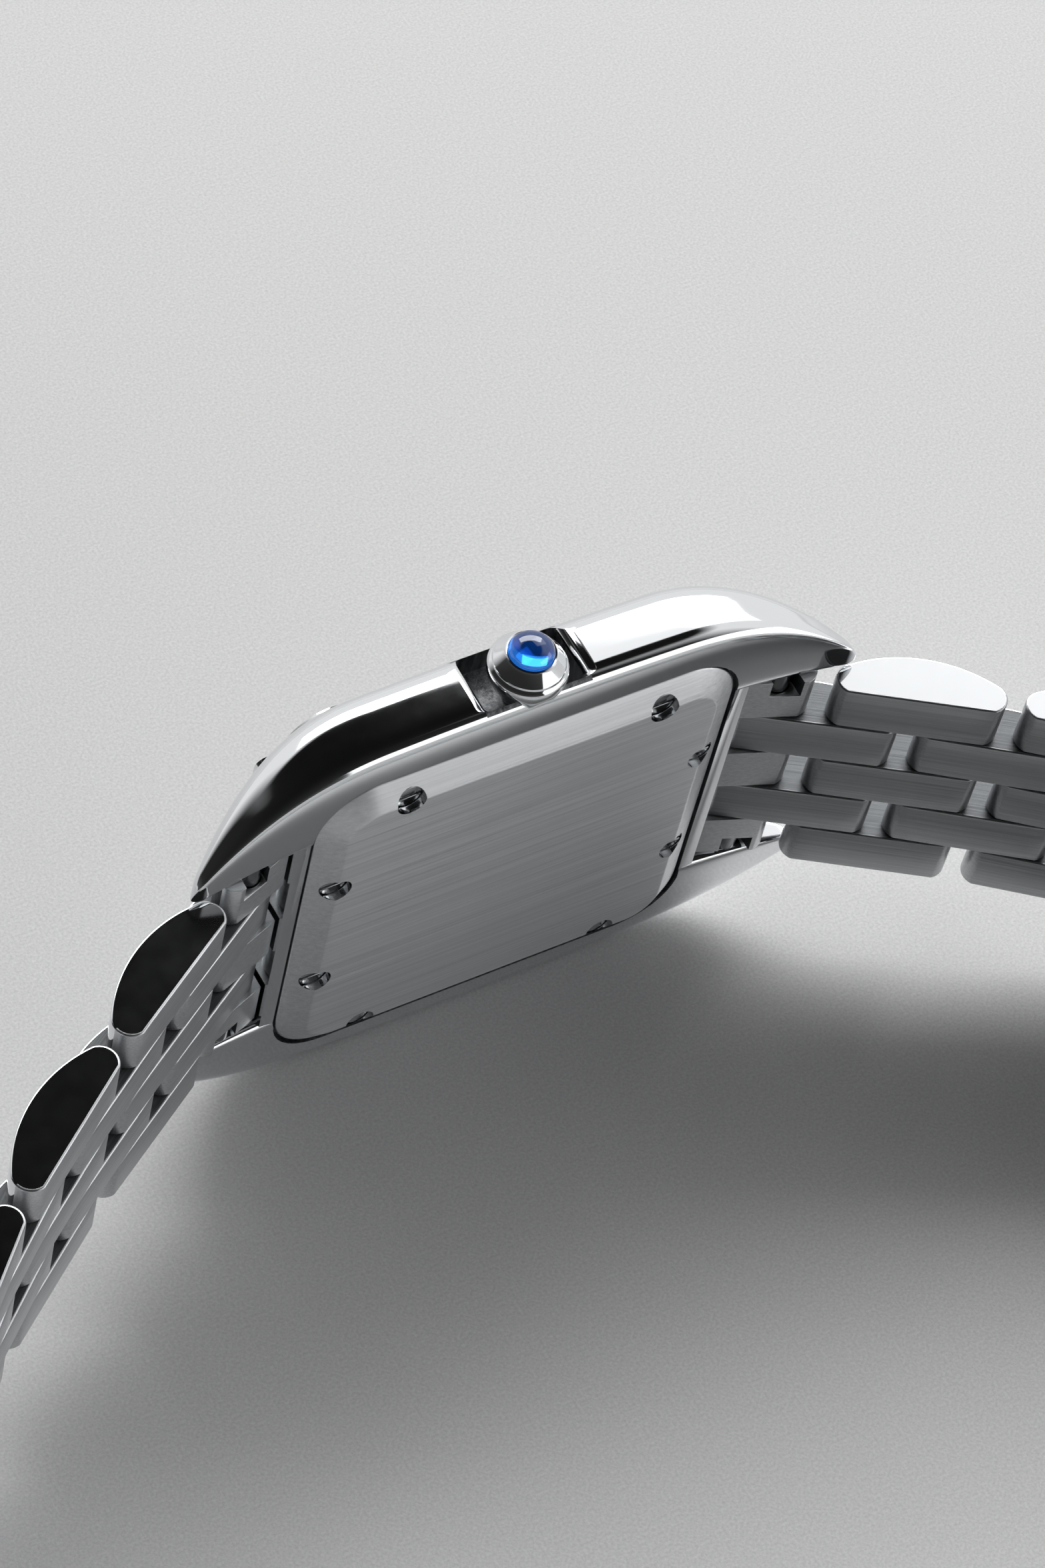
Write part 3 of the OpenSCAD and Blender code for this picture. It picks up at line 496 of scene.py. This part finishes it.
# ---- Back plate: a stamped and milled steel lid with a wide bevel, brushed in one direction, held by eight screws.
# The field is left bare.
plate_levels = (  # the height y, then how far the outline is drawn in and its corner radius
    (-1.9, 0.07, 3.13), (-2.27, 0.07, 3.13), (-2.31, 0.09, 3.11), (-2.36, 0.15, 3.05), (-3.06, 1.39, 1.81),
    (-3.095, 1.47, 1.73), (-3.1, 1.56, 1.64), (-3.1, 1.75, 1.45))
hole_r = 0.79
screw_spots = np.array([
    (sx * x, sz * z) for sx in (-1, 1) for sz in (-1, 1) for x, z in ((7.0, 9.75), (10.25, 4.05))])
rings = []
for y, inset, r in plate_levels:
    line = round_rect(11.7 - inset, 11.2 - inset, r, 14)
    rings.append(np.stack([line[:, 0], np.full(len(line), y), line[:, 1]], 1))
plate = shape("back_plate", [skin(np.stack(rings))])
carve(plate, [shape("screw_holes", [skin(slab(hole_r * circle + spot, -4, -2.3)) for spot in screw_spots])])

# One long stroke along the plate gives it a pale sheen with fine lines; the walls of the drilled holes are bright.
satin_plate = brushed_steel("belt brushed stainless steel plate", ("D6D8DA", "F2F4F6"), 0.4, (40, 7000, 7000))
spots = off_stand([f.center for f in plate.data.polygons])[:, [0, 2]]
from_hole = np.linalg.norm(spots[:, None] - screw_spots[None], axis=2).min(1)
wall = [0.7 < d < 0.83 and len(f.vertices) < 5 for d, f in zip(from_hole, plate.data.polygons)]
plate.data.polygons.foreach_set("material_index", [int(w) for w in wall])
fit(plate, "case", "brushed_steel", "case_back", finish=[satin_plate, mirror])


# ---- Crown: turned from steel bar, with eight flats milled round its skirt and a collar closed over the stone.
# The profile gives radius and height z, from the skirt up and over the collar into the stone's seat.
crown_y, skirt_foot, skirt_top = -0.5, 12.5, 14.0
around = np.linspace(0, 2 * np.pi, 192, endpoint=False)
profile = np.array([
    (1.05, 12.5), (1.5, 12.5), (1.66, 12.56), (1.76, 12.8), (1.86, 13.2), (1.95, 13.5), (1.99, 13.7), (2.0, 13.85),
    (1.99, 13.98), (1.95, 14.08), (1.86, 14.18), (1.8, 14.24), (1.77, 14.3), (1.755, 14.36), (1.72, 14.4),
    (1.34, 14.93), (1.31, 14.97), (1.28, 15.02), (1.23, 15.05), (1.17, 15.04), (1.15, 14.98), (1.15, 14.7),
    (0.5, 14.7)])
radii, heights = profile[:, :1], profile[:, 1:]
eighth = np.pi / 4
facet = (1.5 + 0.42 * (heights - skirt_foot)) / np.cos((around[None] + eighth / 2) % eighth - eighth / 2)
radius = np.where(heights < skirt_top, np.minimum(radii, facet), radii)
rings = np.stack([
    radius * np.cos(around), radius * np.sin(around) + crown_y, np.broadcast_to(heights, radius.shape)], -1)
crown = shape("crown", [skin(rings)], crease=24)
fit(crown, "crown", "polished_steel", "crown", finish=[mirror])


# ---- Stone: a blue spinel ground to a low dome and polished, held by the crown's collar over its bright seat.
# The dome is a quarter ellipse, 1.13 mm in radius and 0.75 mm high, turned about the crown's axis.
stone_r, stone_foot, girdle, dome_rise = 1.13, 14.72, 15.05, 0.75
rise = np.linspace(0, np.pi / 2, 20)[1:-1]
dome = [(stone_r, stone_foot), (stone_r, girdle)]
dome += [(stone_r * np.cos(t), girdle + dome_rise * np.sin(t)) for t in rise]
rings = np.stack([
    np.stack([r * np.cos(around), r * np.sin(around) + crown_y, np.full(len(around), z)], -1) for r, z in dome])
stone = shape("stone", [skin(rings)], crease=50)
# Clear blue with a very smooth skin: one sharp highlight on top, and light from the seat glowing through. A polished
# synthetic stone has no grain, so none is drawn.
spinel, tree, shader = stuff("polished blue spinel")
feed(tree, shader, {
    "Base Color": linear("2F88F2"), "Roughness": 0.02, "Transmission Weight": 0.85, "IOR": 1.72})
fit(stone, "crown", "blue_stone", "crown_cabochon", finish=[spinel])


# ---- Softened pieces: the end links, screws and bars are milled or turned, then tumbled, so every edge is broken.
# End links are steel bricks fixed between the horns by the spring bars; the screws are turned, with a sawn slot.
def softened(name, width, slot, body, looks, choose=None):
    """A merged copy of a CAD node with its edges rounded; choose gives each face's finish from its outward normal."""
    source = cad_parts[name]
    mesh = source.data.copy()
    mesh.transform(source.matrix_world)
    work = bmesh.new()
    work.from_mesh(mesh)
    bmesh.ops.remove_doubles(work, verts=work.verts, dist=1e-7)
    bmesh.ops.dissolve_limit(work, angle_limit=np.radians(0.5), verts=work.verts, edges=work.edges)
    work.to_mesh(mesh)
    work.free()
    mesh.name = name
    piece = bpy.data.objects.new("soft_" + name, mesh)
    bpy.context.scene.collection.objects.link(piece)
    edge = piece.modifiers.new("edge", "BEVEL")
    edge.width, edge.segments, edge.limit_method, edge.angle_limit = width / 1000, 2, "ANGLE", np.radians(28)
    mesh.polygons.foreach_set("use_smooth", [True] * len(mesh.polygons))
    piece.modifiers.new("flat faces", "WEIGHTED_NORMAL").weight = 90
    bpy.context.view_layer.update()
    made = bpy.data.meshes.new_from_object(piece.evaluated_get(bpy.context.evaluated_depsgraph_get()))
    piece.modifiers.clear()
    piece.data = made
    made.materials.clear()
    if choose:
        made.polygons.foreach_set("material_index", [choose(f.normal) for f in made.polygons])
    return fit(piece, body, slot, name, finish=looks)


def end_link_face(n):
    """Brushed (0) toward the wrist and on the sides of the band, polished (1) outside, milled (2) at the ends. The
    ends' dark tone is painted shade.
    """
    if n.y < -0.5 or abs(n.z) > 0.6:
        return 0
    return 1 if n.y > 0.3 else 2


# The ends that face the gaps are dull, and their dark tone is painted shade. The screws are a little greyer than the
# buffed steel, and the spring bars are darker still, painted shade where they sit in the notches.
sawn = brushed_steel("milled steel sides of the end links painted dark as shade", ("404244", "6A6C6E"), 0.45, (9000, 9000, 60))
for side in ("12", "6"):
    softened(f"end_link_{side}", 0.09, "brushed_steel", "case", [satin, mirror, sawn], end_link_face)
screw_steel = polished_steel("turned steel screw heads", "B8BABC", 0.16)
softened("back_screws", 0.035, "dark_steel", "case", [screw_steel])
softened("spring_bars", 0.05, "dark_steel", "case", [polished_steel("drawn steel spring bars painted dark as shade", "8A8C8E", 0.22)])


# ---- Front: a thin square bezel with eight screws holds a flat sapphire crystal over a silvered dial.
# The dial has plain printed numbers and minute lines. The heat blued steel hands stand at eight minutes past ten.
softened("bezel", 0.12, "polished_steel", "case", [mirror])
softened("bezel_screws", 0.03, "dark_steel", "case", [screw_steel])

# Ground and polished sapphire: clear, with a sharp reflection that a few faint smears break up.
glass, tree, shader = stuff("flat sapphire crystal")
smear = node(tree, "ShaderNodeTexNoise", {"Vector": own_place(tree), "Scale": 250.0, "Detail": 4.0})
level = node(tree, "ShaderNodeMapRange", {
    "Value": smear.outputs["Fac"], "From Min": 0.45, "From Max": 0.8, "To Min": 0.0, "To Max": 0.04})
feed(tree, shader, {"Roughness": level.outputs["Result"], "Transmission Weight": 1.0, "IOR": 1.77})
softened("crystal", 0.1, "sapphire", "case", [glass])

# Moulded rubber: black and dull, with the fine tooth of its mould.
rubber, tree, shader = stuff("black moulded rubber")
grain = node(tree, "ShaderNodeTexNoise", {"Vector": own_place(tree), "Scale": 9000.0, "Detail": 3.0}).outputs["Fac"]
feed(tree, shader, {
    "Base Color": two_tone(tree, grain, "121212", "242424", 0.0, 1.0),
    "Roughness": 0.65,
    "Normal": relief(tree, grain, 0.3, 0.00002),
})
for name in ("crystal_gasket", "back_gasket"):
    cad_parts[name].data.materials[0] = rubber

dial_top, letter_middle = 1.3, 1.312


def dial_lacquer():
    """Silvered lacquer brushed outward from the centre: noise over the angle alone, so that very fine rays catch the
    light in turn."""
    material, tree, shader = stuff("silvered dial lacquer")
    centre = on_stand([[0, dial_top, 0]])[0].tolist()
    shift = node(tree, "ShaderNodeMapping", {"Vector": own_place(tree), "Location": [-v for v in centre]})
    parts = node(tree, "ShaderNodeSeparateXYZ", {"Vector": shift.outputs["Vector"]}).outputs
    turn = node(tree, "ShaderNodeMath", {0: parts["Z"], 1: parts["X"]}, operation="ARCTAN2")
    ray = node(tree, "ShaderNodeTexNoise", {
        "W": turn.outputs["Value"], "Scale": 60.0, "Detail": 4.0, "Roughness": 0.8,
    }, noise_dimensions="1D").outputs["Fac"]
    feed(tree, shader, {
        "Base Color": two_tone(tree, ray, "D4D2CC", "EFEEEA"),
        "Roughness": 0.35,
        "Metallic": 0.25,
        "Normal": relief(tree, ray, 0.1, 0.00002),
    })
    return material


def printed_ink():
    """Black pad printing: a thin film, half glossy, with a slightly uneven tone."""
    material, tree, shader = stuff("black printed ink")
    grain = node(tree, "ShaderNodeTexNoise", {"Vector": own_place(tree), "Scale": 12000.0, "Detail": 2.0})
    feed(tree, shader, {
        "Base Color": two_tone(tree, grain.outputs["Fac"], "0C0C0E", "1A1A1E", 0.0, 1.0), "Roughness": 0.4})
    return material


ink = printed_ink()
softened("dial", 0.03, "dial_lacquer", "case", [dial_lacquer()])


def square_reach(half, a, least=0.0):
    """How far a square of that half side reaches in the direction a, its corners cut back where least is given."""
    return half / max(abs(np.cos(a)), abs(np.sin(a)), least)


# 12 is at +X and 3 at +Z, so a plain number is laid with its right side toward +Z and its top toward +X.
marks = []
for hour in range(1, 13):
    text = bpy.data.curves.new("number", "FONT")
    text.body, text.size, text.extrude, text.offset = str(hour), 2.3, 0.008, 0.025
    text.align_x, text.align_y = "CENTER", "CENTER"
    letter = bpy.data.objects.new("number", text)
    bpy.context.scene.collection.objects.link(letter)
    bpy.context.view_layer.update()
    flat = bpy.data.meshes.new_from_object(letter.evaluated_get(bpy.context.evaluated_depsgraph_get()))
    points = np.array([v.co for v in flat.vertices])
    points[:, :2] -= (points[:, :2].min(0) + points[:, :2].max(0)) / 2
    a = np.radians(30 * hour)
    reach = square_reach(7.35, a, 0.86)
    spot = [points[:, 1] + reach * np.cos(a), letter_middle + points[:, 2], points[:, 0] + reach * np.sin(a)]
    marks.append((np.stack(spot, 1), [list(f.vertices) for f in flat.polygons], [0] * len(flat.polygons)))
    bpy.data.objects.remove(letter)
for minute in range(60):
    a = np.radians(6 * minute)
    far = square_reach(4.95, a)
    along, across = np.array([np.cos(a), np.sin(a)]), np.array([-np.sin(a), np.cos(a)])
    long, wide = (0.46, 0.12) if minute % 5 == 0 else (0.4, 0.035)
    line = np.stack([
        along * (far + i * long / 2) + across * j * wide for i, j in ((-1, -1), (1, -1), (1, 1), (-1, 1))])
    marks.append(skin(slab(line, dial_top, 1.32)))
half_line = 0.02
for half in (4.72, 5.18):
    near, past = half - half_line, half + half_line
    for turn in range(4):
        bar = np.array([[near, -past], [past, -past], [past, past], [near, past]])
        for _ in range(turn):
            bar = bar @ np.array([[0, 1], [-1, 0]])
        marks.append(skin(slab(bar, dial_top, 1.318)))
fit(shape("dial_print", marks), "case", "dial_lacquer", finish=[ink])

# Polished steel heated until an oxide film turns it deep blue, a little unevenly.
blued, tree, shader = stuff("heat blued steel")
haze = node(tree, "ShaderNodeTexNoise", {"Vector": own_place(tree), "Scale": 700.0, "Detail": 3.0})
feed(tree, shader, {
    "Base Color": two_tone(tree, haze.outputs["Fac"], "0A1E5A", "1C3C8C", 0.0, 1.0), "Metallic": 1.0, "Roughness": 0.2})
softened("hour_hand", 0.03, "blued_steel", "hour", [blued])
softened("minute_hand", 0.03, "blued_steel", "minute", [blued])


# ---- Inside: a quartz movement in a white moulded holder, with a green board, a copper coil and a button cell.
# Its motion work carries the hands, and the stem reaches its setting pinion through the crown tube.
def plain_stuff(name, dark, light, rough, metal, scale, nodes, stretch=(1, 1, 1)):
    """A noise pattern in tone and height, its grain given in lines a metre, laid on CAD pieces as they are."""
    material, tree, shader = stuff(name)
    drawn = node(tree, "ShaderNodeMapping", {"Vector": own_place(tree), "Scale": stretch})
    grain = node(tree, "ShaderNodeTexNoise", {
        "Vector": drawn.outputs["Vector"], "Scale": scale, "Detail": 4.0, "Roughness": 0.65}).outputs["Fac"]
    feed(tree, shader, {
        "Base Color": two_tone(tree, grain, dark, light),
        "Metallic": metal,
        "Roughness": rough,
        "Normal": relief(tree, grain, 0.4, 0.00002),
    })
    for one in nodes:
        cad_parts[one].data.materials[0] = material


# Cut brass wheels shine warm, and the nickelled plate has a cool frosted grain.
plain_stuff("yellow brass wheels", "B08A3C", "D8B868", 0.25, 1.0, 6000.0, ("hour_wheel", "cannon_pinion"))
plain_stuff("frosted nickel plate", "A8A6A0", "D0CEC8", 0.35, 1.0, 9000.0, ("movement",))
# The board's lacquer is an uneven green, the coil shows its windings, and the cell is plain bright steel.
plain_stuff("green solder mask", "0E4A2A", "1C6A3E", 0.35, 0.0, 1500.0, ("circuit_board",))
plain_stuff("enamelled copper wire", "8A3E1C", "D07A44", 0.3, 1.0, 9000.0, ("drive_coil",), (1.0, 1.0, 0.05))
plain_stuff("stamped steel button cell", "B4B4B4", "D6D6D6", 0.22, 1.0, 5000.0, ("battery",))
# Moulded nylon is milky and half matt. The stem and its tube keep fine turning lines.
plain_stuff("white moulded nylon", "DAD8D2", "EAE8E2", 0.5, 0.0, 4000.0, ("movement_holder",))
plain_stuff("turned steel stem", "8C8E90", "B6B8BA", 0.22, 1.0, 12000.0,
            ("setting_pinion", "winding_stem", "crown_tube"), (0.05, 0.05, 1.0))


# ---- Clasp: two bent steel blades folded into a plate, opened out so that the loop can stand wide.
# They are brushed along the band, and their pins are turned.
for name, body in (("clasp_blade_12", "blade_12"), ("clasp_plate", "plate"), ("clasp_blade_6", "blade_6")):
    softened(name, 0.1, "brushed_steel", body, [satin])
softened("clasp_pins", 0.04, "dark_steel", "plate", [screw_steel])
